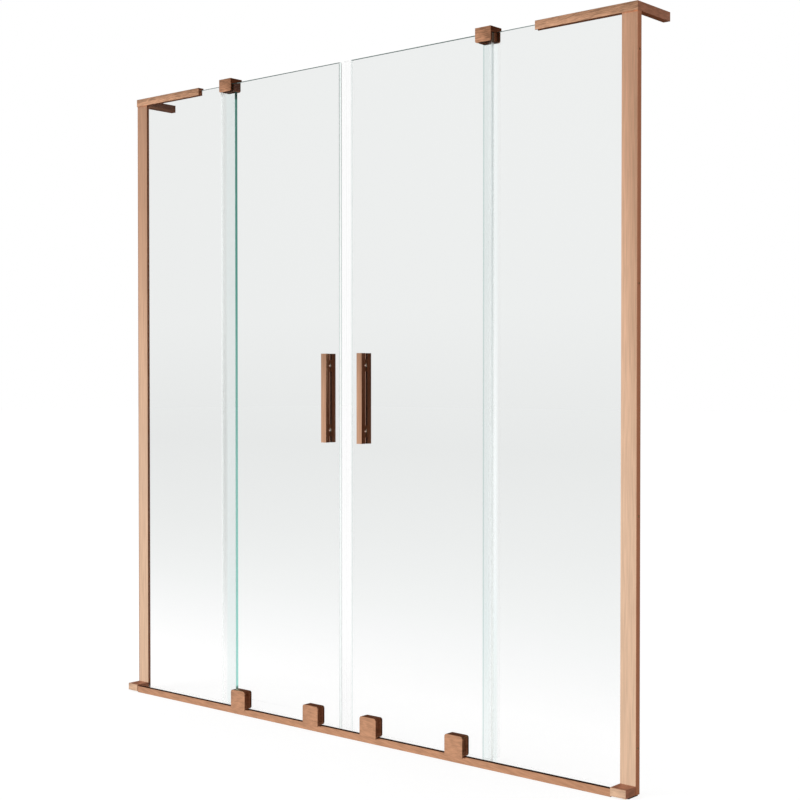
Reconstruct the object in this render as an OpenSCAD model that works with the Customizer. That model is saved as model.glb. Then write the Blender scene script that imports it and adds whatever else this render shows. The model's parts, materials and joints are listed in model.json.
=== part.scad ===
// Sliding bath screen: two fixed panes, two doors on rail rollers, brushed copper fittings.
// X runs along the bath, -Y faces the room, +Z is up, and the rail stands on the bath rim at Z = 0.
// Each right-hand piece is modelled at positive X, and its left-hand twin is its mirror image.

/* [Overall] */
// Width between the two walls that the screen spans
opening_w = 1475; // [1440:1:1520]
// Height from the bath rim to the top of the braces
screen_h = 1500; // [1400:1:1600]

/* [Glass] */
// Thickness of the fixed panes and of the doors
glass_t = 8; // [6:0.5:10]
// Width of each fixed pane
fixed_w = 356.5; // [320:0.5:380]
// How far a closed door laps over its fixed pane
door_overlap = 33; // [26:0.5:36]
// Gap between the back of a door and the front of a fixed pane
pane_gap = 10; // [8:0.5:14]
// Height of a door's lower edge above the rim
door_foot = 10; // [8:0.5:12]
// Height of a fixed pane's lower edge above the rim
fixed_foot = 6; // [5:0.5:8]
// How far a door's upper edge lies below a fixed pane's
door_drop = 3.5; // [2:0.5:6]

/* [Wall profiles] */
// Width of a wall profile's face
profile_w = 34.6; // [30:0.2:45]
// Thickness of a wall profile's two cheeks
profile_wall = 1.25; // [1:0.05:2]
// Thickness of a wall profile's web, against the wall
profile_web = 1.5; // [1.2:0.1:3]
// Thickness of the gasket on each side of a pane in its profile
glazing_t = 0.5; // [0.4:0.1:1.5]
// Depth of that gasket into the profile
glazing_w = 10; // [6:0.5:16]
// Free room between a pane's edge and the profile's web
edge_room = 6.5; // [5:0.5:8]
// Thickness of the sealing strip between the profile and the wall
wall_seal_t = 1.5; // [1:0.1:3]
// Radius of the holes for the wall screws
wall_hole_r = 2.6; // [2.1:0.1:3.1]
// Number of wall screws in each profile
wall_holes = 4; // [3:1:4]
// Distance from one wall screw to the next
wall_hole_pitch = 440; // [380:5:450]

/* [Braces] */
// Height of a brace
brace_h = 17.7; // [16:0.1:24]
// Thickness of a brace's two cheeks
brace_wall = 3; // [2:0.25:4]
// Thickness of the gasket on each side of the pane in a brace
brace_pad = 1; // [0.5:0.1:1.5]
// Thickness of a brace above its slot
brace_roof = 4; // [3:0.25:5]
// Thickness of the gasket above a pane's upper edge
brace_bed = 2.5; // [2:0.25:5]
// Length of the arm that holds the pane
brace_len = 236; // [180:1:300]
// Width of the arm that runs back along the wall
arm_w = 15; // [12:0.5:20]
// Reach of that arm behind the brace's front
arm_reach = 118.5; // [90:0.5:160]

/* [Top guides] */
// Width of a guide along the screen
guide_w = 40; // [36:0.5:50]
// Height of a guide
guide_h = 30; // [26:0.5:36]
// How far a guide stands above the braces
guide_rise = 2.8; // [1:0.1:6]
// Radius of a guide's lower corners
guide_r = 4; // [2:0.5:5]
// Thickness of the lip in front of the door
guide_lip = 4; // [3:0.25:6]
// Thickness of the lip behind the fixed pane
guide_rear = 5; // [4:0.25:8]
// Thickness of the cheek that covers the pane's edge
guide_cheek = 5.5; // [4:0.5:9]
// Thickness of the liners that the door runs between
liner_t = 0.7; // [0.5:0.1:1.2]
// Clearance between a liner and the door
slide_gap = 0.3; // [0.3:0.05:0.6]
// Clearance above a door's upper edge
door_head = 1.2; // [1:0.1:3]
// Thickness of the pads that grip the fixed pane
guide_pad = 0.5; // [0.4:0.1:1]

/* [Rail and end caps] */
// Depth of the rail
rail_d = 10.5; // [9.5:0.5:11.5]
// Height of the rail
rail_h = 15.5; // [13:0.5:18]
// Thickness of the rail's sides and underside
rail_wall = 1.8; // [1.2:0.1:2.2]
// Thickness of the rail's top, under the running faces
rail_top = 3.4; // [3:0.1:4]
// Width of the groove along the rail's top
groove_w = 4.6; // [4.4:0.1:5]
// Depth of that groove
groove_d = 1.5; // [1.5:0.1:2]
// Height of an end cap
cap_h = 19; // [17:0.5:24]
// How far an end cap stands proud of the rail's front
cap_proud = 1.75; // [1:0.25:3]
// Height of an end cap's underside above the rim
cap_foot = 2.5; // [0:0.5:3]
// Thickness of an end cap under the pane's slot
cap_floor = 2; // [2:0.5:3]
// Length of the spigot that fits into the rail
spigot_l = 20; // [12:1:30]
// Clearance round the spigot
spigot_gap = 0.1; // [0.05:0.05:0.3]

/* [Rollers] */
// Rolling radius of a wheel
wheel_r = 11; // [10.5:0.25:12]
// Width of a wheel
wheel_w = 6; // [6:0.25:7]
// Running clearance between a wheel and the rail
wheel_gap = 0.3; // [0.3:0.05:0.4]
// Width of the rib that runs in the rail's groove
rib_w = 3.8; // [3:0.1:3.8]
// Height of that rib over the tread
rib_h = 1.2; // [0.8:0.1:1.2]
// Radius of a wheel's ball bearing
bearing_r = 8; // [7:0.25:8.5]
// Width of that bearing
bearing_w = 5; // [4:0.25:5.5]
// Radius of an axle
axle_r = 3; // [2.5:0.25:3.5]
// Running clearance of a bearing on its axle
axle_gap = 0.05; // [0.02:0.01:0.08]
// Side clearance of a wheel
wheel_side = 0.5; // [0.3:0.1:0.8]

/* [Roller housings] */
// Width of a housing
block_w = 47; // [40:0.5:56]
// Height of a housing above the rail's top
block_rise = 42.3; // [38:0.1:50]
// How far a housing's front plate laps the rail's front
block_lap = 2.7; // [1:0.1:5]
// Clearance between a housing's body and the rail
block_clear = 1; // [1:0.25:3]
// Radius of a housing's upper corners
block_r = 6; // [2:0.5:7]
// Thickness of a housing's walls
block_wall = 2.5; // [2:0.25:3]
// Depth of a housing in front of its carrier
housing_d = 15; // [13:0.5:18]
// Thickness of a carrier
carrier_t = 5.5; // [5:0.25:8]
// Thickness of the pad between a carrier and the glass
mount_pad = 3; // [2:0.25:4]
// Distance from a door's outer edge to its outer housing
outer_inset = 56; // [45:0.5:70]
// Distance from a door's inner edge to its inner housing
inner_inset = 46; // [38:0.5:60]
// Distance from the middle of a housing to each of its glass screws
screw_half = 9; // [9:0.5:15]
// Height of the glass screws below a housing's top
screw_down = 16; // [14:0.5:18]
// Radius of a glass screw
screw_r = 2.5; // [2:0.25:3]
// Height of a glass screw's head
screw_head = 3; // [2.5:0.25:3.5]
// Size of the post for a housing screw
post = 7; // [6:0.25:7.5]
// Radius of a housing screw
post_screw_r = 1.25; // [1:0.05:1.5]

/* [Handles] */
// Width of a handle bar
handle_w = 15; // [14:0.5:20]
// Thickness of a handle bar
handle_t = 12; // [10:0.5:14]
// Length of a handle bar
handle_h = 198; // [180:1:300]
// Height of the middle of a handle above the rim
handle_z = 748; // [600:1:900]
// Distance from a door's inner edge to its handle
handle_inset = 28.7; // [20:0.1:60]
// Distance between a handle's two bolts
bolt_pitch = 144; // [120:1:160]
// Length of the boss round each bolt
boss_l = 25; // [16:0.5:30]
// Height of that boss, which holds the bar off the glass
boss_t = 1.5; // [1:0.1:2]
// Radius of a handle bolt
bolt_r = 3; // [2.5:0.25:3]
// Depth of a handle bolt into each bar
bolt_bite = 8; // [5:0.5:8]
// Radius of a grub screw in the side of a bar
grub_r = 1.5; // [1:0.1:1.75]
// Radius of the holes in the glass
glass_hole_r = 5.5; // [5:0.25:6]

/* [Seals] */
// Reach of the magnet seal from a door's inner edge to the middle
magnet_reach = 17.5; // [14:0.5:24]
// Clearance between each magnet seal and the middle
magnet_gap = 0.3; // [0.3:0.05:0.5]
// Width of the magnet strip along the screen
magnet_w = 4.5; // [4:0.5:7]
// Thickness of the magnet strip
magnet_t = 3; // [3:0.25:5]
// Distance from a door's inner edge to the rib across its magnet seal
rib_inset = 5; // [4:0.5:6]
// Wall thickness of the clear seals
seal_wall = 1; // [0.8:0.1:1.2]
// How far the clear seals clip over the glass
seal_clip = 6; // [4:0.5:8]
// Reach of the trailing seal past the door's outer edge
fin_reach = 10; // [7:0.5:12]
// Clearance between the trailing seal and the fixed pane
fin_gap = 0.4; // [0.3:0.05:0.8]
// How far the sweep clips up over the door's lower edge
sweep_clip = 8; // [5:0.5:8]
// Clearance between the sweep and the rim
sweep_gap = 1.5; // [0.5:0.25:3]
// Height of the seal under a fixed pane
foot_seal_h = 12; // [10:0.5:15]

/* [Hidden] */
$fn = 48;

LEFT = -1;
RIGHT = 1;
copper = [0.72, 0.51, 0.39];
dark_copper = [0.42, 0.26, 0.18];
glass_tint = [0.86, 0.92, 0.91, 0.35];
clear_plastic = [0.9, 0.94, 0.95, 0.6];
white_plastic = [0.93, 0.94, 0.94];
steel = [0.72, 0.72, 0.74];
brown_rubber = [0.45, 0.28, 0.2];

// Places along X
wall_x = opening_w / 2;
profile_x1 = wall_x - wall_seal_t;
profile_x0 = profile_x1 - profile_w;
channel_x1 = profile_x1 - profile_web;
pane_x1 = channel_x1 - edge_room;
pane_x0 = pane_x1 - fixed_w;
door_x0 = magnet_reach;
door_x1 = pane_x0 + door_overlap;
guide_x0 = pane_x0 - guide_cheek;
guide_x1 = guide_x0 + guide_w;
handle_x = door_x0 + handle_inset + handle_w / 2;
outer_block_x = door_x1 - outer_inset - block_w / 2;
inner_block_x = door_x0 + inner_inset + block_w / 2;

// Places along Y, counted from the middle of the rail, where the wheels run
carrier_y0 = wheel_w / 2 + wheel_side;
pad_y0 = carrier_y0 + carrier_t;
door_y0 = pad_y0 + mount_pad;
door_y1 = door_y0 + glass_t;
door_y = (door_y0 + door_y1) / 2;
fixed_y0 = door_y1 + pane_gap;
fixed_y1 = fixed_y0 + glass_t;
fixed_y = (fixed_y0 + fixed_y1) / 2;
housing_y0 = carrier_y0 - housing_d;
channel_d = glass_t + 2 * glazing_t;
profile_d = channel_d + 2 * profile_wall;
profile_y0 = fixed_y - profile_d / 2;
profile_y1 = fixed_y + profile_d / 2;
brace_d = glass_t + 2 * (brace_pad + brace_wall);
brace_y0 = fixed_y - brace_d / 2;
brace_y1 = fixed_y + brace_d / 2;
guide_groove_y0 = door_y0 - slide_gap - liner_t;
guide_groove_y1 = door_y1 + slide_gap + liner_t;
guide_y0 = guide_groove_y0 - guide_lip;
guide_y1 = fixed_y1 + guide_pad + guide_rear;
handle_y0 = door_y0 - boss_t - handle_t;

// Places along Z
cap_slot_z0 = cap_foot + cap_floor;
brace_z0 = screen_h - brace_h;
pane_z1 = screen_h - brace_roof - brace_bed;
door_z1 = pane_z1 - door_drop;
guide_z1 = screen_h + guide_rise;
guide_z0 = guide_z1 - guide_h;
guide_groove_z1 = door_z1 + door_head;
block_z1 = rail_h + block_rise;
block_z0 = rail_h + block_clear;
plate_z0 = rail_h - block_lap;
axle_z = rail_h + wheel_r;
screw_z = block_z1 - screw_down;
post_z = block_z1 - block_wall - post / 2;
post_half = block_w / 2 - block_wall - post / 2;
sweep_z1 = door_foot + sweep_clip;
seal_step = 0.5;
key_l = 20;
key_gap = 0.1;
key_x0 = pane_x1 + 0.6;
key_x = (key_x0 + channel_x1) / 2;
key_screw_r = 2;
key_screw_head = 4;
wall_hole_z0 = (cap_h + brace_z0) / 2 - (wall_holes - 1) * wall_hole_pitch / 2;

// A box from its six limits
module span(x0, x1, y0, y1, z0, z1) {
    translate([x0, y0, z0]) cube([x1 - x0, y1 - y0, z1 - z0]);
}

// The children as drawn for the right side, or mirrored for the left
module hand(side) {
    if (side == LEFT)
        mirror([1, 0, 0]) children();
    else
        children();
}

// The children on both sides
module both_hands() {
    for (side = [LEFT, RIGHT])
        hand(side) children();
}

// A round bar along Y from y0 to y1
module rod_y(x, z, y0, y1, r) {
    translate([x, y0, z]) rotate([-90, 0, 0]) cylinder(r = r, h = y1 - y0);
}

// A hexagon socket along Y
module socket_y(x, z, y0, y1, r) {
    translate([x, y0, z]) rotate([-90, 0, 0]) cylinder(r = r, h = y1 - y0, $fn = 6);
}

// Frame

module wall_profile(side) {
    color(copper) hand(side) difference() {
        span(profile_x0, profile_x1, profile_y0, profile_y1, cap_h, brace_z0);
        span(profile_x0 - 1, channel_x1, fixed_y - channel_d / 2, fixed_y + channel_d / 2,
            cap_h - 1, brace_z0 + 1);
        wall_screw_holes(channel_x1 - 1, profile_x1 + 1, wall_hole_r);
    }
}

module wall_screw_holes(x0, x1, r) {
    for (i = [0 : wall_holes - 1])
        translate([x0, fixed_y, wall_hole_z0 + i * wall_hole_pitch])
            rotate([0, 90, 0]) cylinder(r = r, h = x1 - x0);
}

module fixed_glass(side) {
    color(glass_tint) hand(side)
        span(pane_x0, pane_x1, fixed_y0, fixed_y1, fixed_foot, pane_z1);
}

module top_brace(side) {
    color(copper) hand(side) difference() {
        union() {
            span(wall_x - brace_len, wall_x, brace_y0, brace_y1, brace_z0, screen_h);
            span(wall_x - arm_w, wall_x, brace_y0, brace_y0 + arm_reach, brace_z0, screen_h);
        }
        span(wall_x - brace_len - 1, key_x0, brace_y0 + brace_wall, brace_y1 - brace_wall,
            brace_z0 - 1, screen_h - brace_roof);
        translate([key_x, fixed_y, brace_z0 - 1]) cylinder(r = key_screw_r, h = brace_h + 2);
        translate([key_x, fixed_y, screen_h - key_screw_head / 2])
            cylinder(r1 = key_screw_r, r2 = key_screw_head, h = key_screw_head / 2 + 0.01);
    }
}

// Outline of a guide in X and Z, with its lower corners rounded
module guide_face() {
    translate([guide_x0, guide_z0 + guide_r]) square([guide_w, guide_h - guide_r]);
    translate([guide_x0 + guide_r, guide_z0]) square([guide_w - 2 * guide_r, guide_h]);
    for (x = [guide_x0 + guide_r, guide_x1 - guide_r])
        translate([x, guide_z0 + guide_r]) circle(r = guide_r);
}

module top_guide(side) {
    color(copper) hand(side) difference() {
        translate([0, guide_y1, 0]) rotate([90, 0, 0])
            linear_extrude(guide_y1 - guide_y0) guide_face();
        span(guide_x0 - 1, guide_x1 + 1, guide_groove_y0, guide_groove_y1,
            guide_z0 - 1, guide_groove_z1);
        span(pane_x0 - guide_pad, guide_x1 + 1, fixed_y0 - guide_pad, fixed_y1 + guide_pad,
            guide_z0 - 1, pane_z1);
        guide_grubs() rod_y(0, 0, fixed_y1, guide_y1 + 1, key_screw_r);
    }
}

// The children at a guide's two clamping screws
module guide_grubs() {
    for (x = [pane_x0 + guide_w / 5, guide_x1 - guide_w / 5])
        translate([x, 0, guide_z0 + guide_h / 3]) children();
}

module guide_liners() {
    x0 = guide_x0 + guide_r;
    x1 = guide_x1 - guide_r;
    color(brown_rubber) both_hands() {
        span(x0, x1, guide_groove_y0, guide_groove_y0 + liner_t, guide_z0, guide_groove_z1);
        span(x0, x1, guide_groove_y1 - liner_t, guide_groove_y1, guide_z0, guide_groove_z1);
        span(pane_x0, x1, fixed_y0 - guide_pad, fixed_y0, guide_z0, pane_z1);
        span(pane_x0, x1, fixed_y1, fixed_y1 + guide_pad, guide_z0, pane_z1);
    }
}

module bottom_rail() {
    color(copper) difference() {
        span(-profile_x0, profile_x0, -rail_d / 2, rail_d / 2, 0, rail_h);
        span(-profile_x0 - 1, profile_x0 + 1, -rail_d / 2 + rail_wall, rail_d / 2 - rail_wall,
            rail_wall, rail_h - rail_top);
        span(-profile_x0 - 1, profile_x0 + 1, -groove_w / 2, groove_w / 2,
            rail_h - groove_d, rail_h + 1);
    }
}

module end_cap(side) {
    color(copper) hand(side) difference() {
        union() {
            span(profile_x0, profile_x1, -rail_d / 2 - cap_proud, profile_y1, cap_foot, cap_h);
            span(profile_x0 - spigot_l, profile_x0 + 1,
                -rail_d / 2 + rail_wall + spigot_gap, rail_d / 2 - rail_wall - spigot_gap,
                rail_wall + spigot_gap, rail_h - rail_top - spigot_gap);
        }
        span(profile_x0 - 1, key_x0, fixed_y - channel_d / 2, fixed_y + channel_d / 2,
            cap_slot_z0, cap_h + 1);
        translate([key_x, fixed_y, cap_foot - 1]) cylinder(r = key_screw_r, h = cap_h + 2);
        translate([key_x, fixed_y, cap_foot - 0.01])
            cylinder(r1 = key_screw_head, r2 = key_screw_r, h = key_screw_head / 2 + 0.01);
    }
}

module glazing_gaskets() {
    color(brown_rubber) both_hands() {
        for (y0 = [fixed_y0 - glazing_t, fixed_y1])
            span(profile_x0 + seal_step, profile_x0 + seal_step + glazing_w, y0, y0 + glazing_t,
                cap_h, brace_z0);
        difference() {
            span(wall_x - brace_len + seal_step, pane_x1, brace_y0 + brace_wall,
                brace_y1 - brace_wall, brace_z0 + seal_step, pane_z1 + brace_bed);
            span(wall_x - brace_len, pane_x1 + 1, fixed_y0, fixed_y1, brace_z0, pane_z1);
        }
    }
}

module wall_seals() {
    color(brown_rubber) both_hands() difference() {
        span(profile_x1, wall_x, profile_y0, profile_y1, cap_foot, brace_z0);
        wall_screw_holes(profile_x1 - 1, wall_x + 1, wall_hole_r);
    }
}

module foot_seals() {
    color(clear_plastic) both_hands() {
        difference() {
            span(pane_x0, profile_x0, fixed_y0 - seal_wall, fixed_y1 + seal_wall, 0, foot_seal_h);
            span(pane_x0 - 1, profile_x0 + 1, fixed_y0, fixed_y1, fixed_foot, foot_seal_h + 1);
        }
        span(profile_x0 + glazing_t, pane_x1 - glazing_t, fixed_y0, fixed_y1,
            cap_slot_z0, fixed_foot);
    }
}

module frame_keys() {
    color(steel) both_hands()
        for (z0 = [cap_h, brace_z0 - key_l])
            difference() {
                span(key_x0, channel_x1 - key_gap, fixed_y - channel_d / 2 + key_gap,
                    fixed_y + channel_d / 2 - key_gap, z0, z0 + key_l);
                translate([key_x, fixed_y, z0 - 1]) cylinder(r = key_screw_r, h = key_l + 2);
            }
}

module frame_screws() {
    color(steel) both_hands() {
        difference() {
            union() {
                translate([key_x, fixed_y, brace_z0 - key_l])
                    cylinder(r = key_screw_r, h = key_l + brace_h - key_screw_head / 2);
                translate([key_x, fixed_y, screen_h - key_screw_head / 2])
                    cylinder(r1 = key_screw_r, r2 = key_screw_head, h = key_screw_head / 2);
            }
            translate([key_x, fixed_y, screen_h - 1.5]) cylinder(r = 1.5, h = 2, $fn = 6);
        }
        difference() {
            union() {
                translate([key_x, fixed_y, cap_foot + key_screw_head / 2])
                    cylinder(r = key_screw_r, h = cap_h + key_l - cap_foot - key_screw_head / 2);
                translate([key_x, fixed_y, cap_foot])
                    cylinder(r1 = key_screw_head, r2 = key_screw_r, h = key_screw_head / 2);
            }
            translate([key_x, fixed_y, cap_foot - 0.5]) cylinder(r = 1.5, h = 2, $fn = 6);
        }
        guide_grubs() difference() {
            rod_y(0, 0, fixed_y1 + guide_pad, guide_y1 - guide_pad, key_screw_r);
            socket_y(0, 0, guide_y1 - guide_pad - 1.5, guide_y1, 1);
        }
    }
}

// Doors

// The children at the middle of each roller housing of the right-hand door
module each_block() {
    for (x = [inner_block_x, outer_block_x])
        translate([x, 0, 0]) children();
}

// The children at each glass screw of the right-hand door's two housings
module each_glass_screw() {
    each_block() for (dx = [-screw_half, screw_half])
        translate([dx, 0, screw_z]) children();
}

// The children at each bolt of the right-hand door's handle
module each_bolt() {
    for (dz = [-bolt_pitch / 2, bolt_pitch / 2])
        translate([handle_x, 0, handle_z + dz]) children();
}

module door_glass(side) {
    color(glass_tint) hand(side) difference() {
        span(door_x0, door_x1, door_y0, door_y1, door_foot, door_z1);
        each_bolt() rod_y(0, 0, door_y0 - 1, door_y1 + 1, glass_hole_r);
        each_glass_screw() rod_y(0, 0, door_y0 - 1, door_y1 + 1, glass_hole_r);
    }
}

// Outline of a U that clips over the door's edge at x, opening towards -X
module edge_clip(x) {
    difference() {
        translate([x - seal_clip, door_y0 - seal_wall])
            square([seal_clip + seal_wall, glass_t + 2 * seal_wall]);
        translate([x - seal_clip - 1, door_y0]) square([seal_clip + 1, glass_t]);
    }
}

module trailing_seal(side) {
    fin_x0 = door_x1 + seal_wall / 2;
    fin_x1 = door_x1 + fin_reach;
    fin_y1 = fixed_y0 - fin_gap;
    color(clear_plastic) hand(side)
        translate([0, 0, sweep_z1 + seal_step])
            linear_extrude(guide_z0 - 2 * seal_step - sweep_z1 - seal_step) {
                edge_clip(door_x1);
                polygon([[fin_x0, door_y], [fin_x0 + seal_wall, door_y],
                    [fin_x1, fin_y1 - seal_wall], [fin_x1, fin_y1], [fin_x1 - seal_wall, fin_y1]]);
            }
}

module magnet_seal(side) {
    pocket_x0 = magnet_gap + seal_wall;
    neck_x0 = pocket_x0 + magnet_w + seal_wall;
    rib_x0 = door_x0 - rib_inset - seal_wall / 2;
    color(clear_plastic) hand(side)
        translate([0, 0, door_foot]) linear_extrude(door_z1 - door_foot) {
            translate([2 * door_x0, 0]) mirror([1, 0]) edge_clip(door_x0);
            difference() {
                translate([magnet_gap, door_y - magnet_t / 2 - seal_wall])
                    square([door_x0 - seal_wall / 2 - magnet_gap, magnet_t + 2 * seal_wall]);
                translate([pocket_x0, door_y - magnet_t / 2]) square([magnet_w, magnet_t]);
                translate([neck_x0, door_y - magnet_t / 2])
                    square([rib_x0 - neck_x0, magnet_t]);
                translate([rib_x0 + seal_wall, door_y - magnet_t / 2])
                    square([door_x0 - 2 * seal_wall - rib_x0, magnet_t]);
            }
        }
}

module magnet_strip(side) {
    x0 = magnet_gap + seal_wall;
    color(white_plastic) hand(side)
        span(x0, x0 + magnet_w, door_y - magnet_t / 2, door_y + magnet_t / 2,
            door_foot, door_z1);
}

module bottom_sweep(side) {
    color(clear_plastic) hand(side) difference() {
        union() {
            span(door_x0 + seal_clip + seal_step, door_x1, door_y0 - seal_wall,
                door_y1 + seal_wall, door_foot - seal_wall, sweep_z1);
            span(door_x0 + seal_clip + seal_step, door_x1, door_y - seal_wall,
                door_y + seal_wall, sweep_gap, door_foot);
        }
        span(door_x0, door_x1 + 1, door_y0, door_y1, door_foot, sweep_z1 + 1);
    }
}

// One bar of a handle, with the bosses that hold it off the glass at y1
module handle_bar(y0, y1) {
    boss_y0 = y0 < door_y ? y1 - boss_t : y0;
    bar_y0 = y0 < door_y ? y0 : y0 + boss_t;
    bite_y0 = y0 < door_y ? y1 - bolt_bite : y0 - 1;
    bite_y1 = y0 < door_y ? y1 + 1 : y0 + bolt_bite;
    difference() {
        union() {
            span(handle_x - handle_w / 2, handle_x + handle_w / 2, bar_y0, bar_y0 + handle_t,
                handle_z - handle_h / 2, handle_z + handle_h / 2);
            for (dz = [-bolt_pitch / 2, bolt_pitch / 2])
                span(handle_x - handle_w / 2, handle_x + handle_w / 2, boss_y0,
                    boss_y0 + boss_t, handle_z + dz - boss_l / 2, handle_z + dz + boss_l / 2);
        }
        each_bolt() rod_y(0, 0, bite_y0, bite_y1, bolt_r);
    }
}

// Both handles turn the same side of their bars, with the grub screws, towards +X
module grub_place(side) {
    for (dz = [-bolt_pitch / 2, bolt_pitch / 2])
        translate([side * handle_x + handle_w / 2, door_y0 - grub_r - 0.3, handle_z + dz])
            rotate([0, -90, 0]) children();
}

grub_l = handle_w / 2 - bolt_r - 0.3;

module handle_front(side) {
    color(copper) difference() {
        hand(side) handle_bar(handle_y0, door_y0);
        grub_place(side) translate([0, 0, -1]) cylinder(r = grub_r, h = grub_l + 1);
    }
}

module handle_back(side) {
    color(copper) hand(side) handle_bar(door_y1, door_y1 + boss_t + handle_t);
}

module handle_pads(side) {
    inset = 0.5;
    ends = [handle_z - handle_h / 2, handle_z - bolt_pitch / 2 - boss_l / 2,
        handle_z - bolt_pitch / 2 + boss_l / 2, handle_z + bolt_pitch / 2 - boss_l / 2,
        handle_z + bolt_pitch / 2 + boss_l / 2, handle_z + handle_h / 2];
    color(dark_copper) hand(side)
        for (y0 = [door_y0 - boss_t, door_y1])
            for (i = [0, 2, 4])
                span(handle_x - handle_w / 2 + inset, handle_x + handle_w / 2 - inset,
                    y0, y0 + boss_t, ends[i] + inset, ends[i + 1] - inset);
}

module handle_fixings(side) {
    color(steel) {
        hand(side) each_bolt()
            rod_y(0, 0, door_y0 - bolt_bite, door_y1 + bolt_bite, bolt_r);
        grub_place(side) difference() {
            cylinder(r = grub_r, h = grub_l);
            translate([0, 0, -1]) cylinder(r = grub_r / 2, h = 2, $fn = 6);
        }
    }
}

module glass_bushes(side) {
    color(white_plastic) hand(side) {
        each_bolt() difference() {
            rod_y(0, 0, door_y0, door_y1, glass_hole_r);
            rod_y(0, 0, door_y0 - 1, door_y1 + 1, bolt_r);
        }
        each_glass_screw() difference() {
            union() {
                rod_y(0, 0, door_y0, door_y1, glass_hole_r);
                rod_y(0, 0, door_y1, door_y1 + seal_wall, glass_hole_r + seal_wall);
            }
            rod_y(0, 0, door_y0 - 1, door_y1 + seal_wall + 1, screw_r);
        }
    }
}

// Outline of a housing in X and Z, from z0 up, with its upper corners rounded
module block_face(z0, inset) {
    half = block_w / 2 - inset;
    top = block_z1 - inset;
    r = block_r - inset;
    translate([-half, z0]) square([2 * half, top - r - z0]);
    translate([-half + r, z0]) square([2 * (half - r), top - z0]);
    for (x = [-half + r, half - r])
        translate([x, top - r]) circle(r = r);
}

// A housing's outline made solid from y0 to y1
module block_slab(y0, y1, z0, inset) {
    translate([0, y1, 0]) rotate([90, 0, 0]) linear_extrude(y1 - y0) block_face(z0, inset);
}

// The children at a housing's two corner posts
module each_post() {
    for (dx = [-post_half, post_half])
        translate([dx, 0, post_z]) children();
}

module roller_housing(side, x) {
    inner = block_w / 2 - block_wall;
    color(copper) hand(side) translate([x, 0, 0]) {
        difference() {
            union() {
                block_slab(housing_y0, housing_y0 + block_wall, plate_z0, 0);
                block_slab(housing_y0, carrier_y0, block_z0, 0);
            }
            difference() {
                span(-inner, inner, housing_y0 + block_wall, carrier_y0 + 1,
                    block_z0 - 1, block_z1 - block_wall);
                each_post() span(-post / 2, post / 2, housing_y0, carrier_y0,
                    -post / 2, post);
            }
            each_post() rod_y(0, 0, carrier_y0 - housing_d / 2, carrier_y0 + 1, post_screw_r);
        }
    }
}

module roller_carrier(side, x) {
    color(dark_copper) hand(side) translate([x, 0, 0]) difference() {
        block_slab(carrier_y0, pad_y0, block_z0, 0);
        rod_y(0, axle_z, carrier_y0 - 1, carrier_y0 + carrier_t - 1, axle_r);
        for (dx = [-screw_half, screw_half])
            rod_y(dx, screw_z, carrier_y0 - 1, pad_y0 + 1, screw_r);
        each_post() {
            rod_y(0, 0, carrier_y0 - 1, pad_y0 + 1, post_screw_r);
            rod_y(0, 0, pad_y0 - 2.5, pad_y0 + 1, 2 * post_screw_r);
        }
    }
}

module roller_pads(side) {
    color(clear_plastic) hand(side) difference() {
        each_block() block_slab(pad_y0, door_y0, max(sweep_z1, block_z0) + seal_step, 1);
        each_glass_screw() rod_y(0, 0, pad_y0 - 1, door_y0 + 1, screw_r);
    }
}

module roller_axles(side) {
    clip_y1 = -bearing_w / 2 - 0.1;
    color(steel) hand(side) each_block() {
        rod_y(0, axle_z, clip_y1 - 2, carrier_y0 + carrier_t - 1, axle_r);
        rod_y(0, axle_z, bearing_w / 2 + 0.1, carrier_y0, axle_r + 1.2);
        difference() {
            rod_y(0, axle_z, clip_y1 - 0.8, clip_y1, axle_r + 2);
            rod_y(0, axle_z, clip_y1 - 1, clip_y1 + 1, axle_r + axle_gap);
        }
    }
}

module roller_screws(side) {
    head_y0 = door_y1 + seal_wall;
    color(steel) hand(side) {
        each_glass_screw() difference() {
            union() {
                rod_y(0, 0, carrier_y0 + seal_step, head_y0, screw_r);
                rod_y(0, 0, head_y0, head_y0 + screw_head, 2 * screw_r);
            }
            socket_y(0, 0, head_y0 + screw_head / 2, head_y0 + screw_head + 1, screw_r * 0.7);
        }
        each_block() each_post() {
            rod_y(0, 0, carrier_y0 - housing_d / 2, pad_y0 - 2.5, post_screw_r);
            rod_y(0, 0, pad_y0 - 2.5, pad_y0 - 0.3, 1.9 * post_screw_r);
        }
    }
}

// Wheels

module wheel(side, x) {
    tread_r = wheel_r - wheel_gap;
    color(white_plastic) hand(side) translate([x, 0, 0]) difference() {
        union() {
            rod_y(0, axle_z, -wheel_w / 2, wheel_w / 2, tread_r);
            rod_y(0, axle_z, -rib_w / 2, rib_w / 2, tread_r + rib_h);
        }
        rod_y(0, axle_z, -wheel_w, wheel_w, bearing_r);
    }
}

module bearing(side, x) {
    race = (bearing_r - axle_r) * 0.28;
    color(steel) hand(side) translate([x, 0, 0]) difference() {
        rod_y(0, axle_z, -bearing_w / 2, bearing_w / 2, bearing_r);
        rod_y(0, axle_z, -bearing_w, bearing_w, axle_r + axle_gap);
        for (y = [-bearing_w / 2, bearing_w / 2])
            difference() {
                rod_y(0, axle_z, y - 0.5, y + 0.5, bearing_r - race);
                rod_y(0, axle_z, y - 1, y + 1, axle_r + race);
            }
    }
}

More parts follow.
